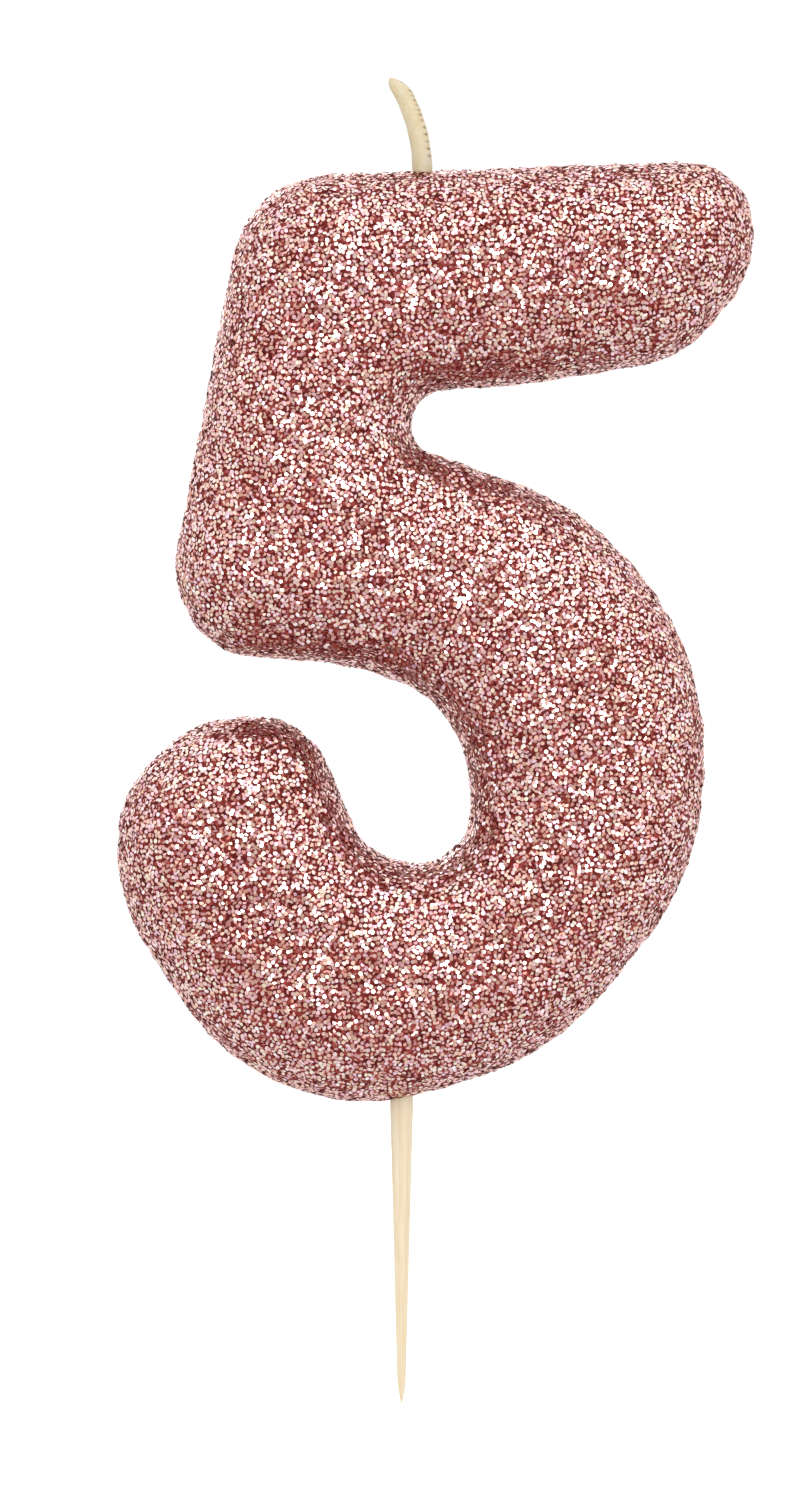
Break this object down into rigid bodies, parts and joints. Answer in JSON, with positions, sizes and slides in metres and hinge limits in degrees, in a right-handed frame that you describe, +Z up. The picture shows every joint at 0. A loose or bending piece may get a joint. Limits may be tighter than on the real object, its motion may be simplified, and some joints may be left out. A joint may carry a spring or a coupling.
{
  "type": "number birthday candle",
  "caption": "Figure 5 cake candle: a puffy glitter-coated wax numeral with a short waxed wick on top and a tapered wooden pick below, which it can be drawn off.",
  "frame": {"origin": "on the pick's axis, half way through the figure from front to back, level with the lowest point of the figure's underside, which is the cake's surface when the pick is pushed fully in", "axes": "+Z up along the pick towards the wick, +X to the right of a reader, +Y away from a reader, so that the figure is read looking along +Y"},
  "size_m": [0.0475, 0.0126, 0.0994],
  "materials": {
    "wax": "uncoloured paraffin wax, smooth and slightly translucent, hidden under the coats",
    "lacquer": "thin red-brown tinted lacquer that shows in the gaps between the flakes",
    "glitter": "rose-gold metallised polyester glitter, flakes about 0.3 mm across, lying at every angle",
    "cotton": "plaited undyed cotton, soaked in wax",
    "wick_wax": "cream priming wax, smooth satin, with the plait showing faintly",
    "birch": "bare pale birch with fine grain along the stick"
  },
  "bodies": {
    "pick": {"pick": "birch"},
    "candle": {"wax_body": "wax", "adhesive_coat": "lacquer", "glitter_coat": "glitter", "wick_braid": "cotton", "wick_wax": "wick_wax"}
  },
  "joints": [
    {"name": "pick_pull", "type": "slide", "parent": "pick", "child": "candle", "axis": [0, 0, 1], "range_m": [0, 0.013]}
  ]
}
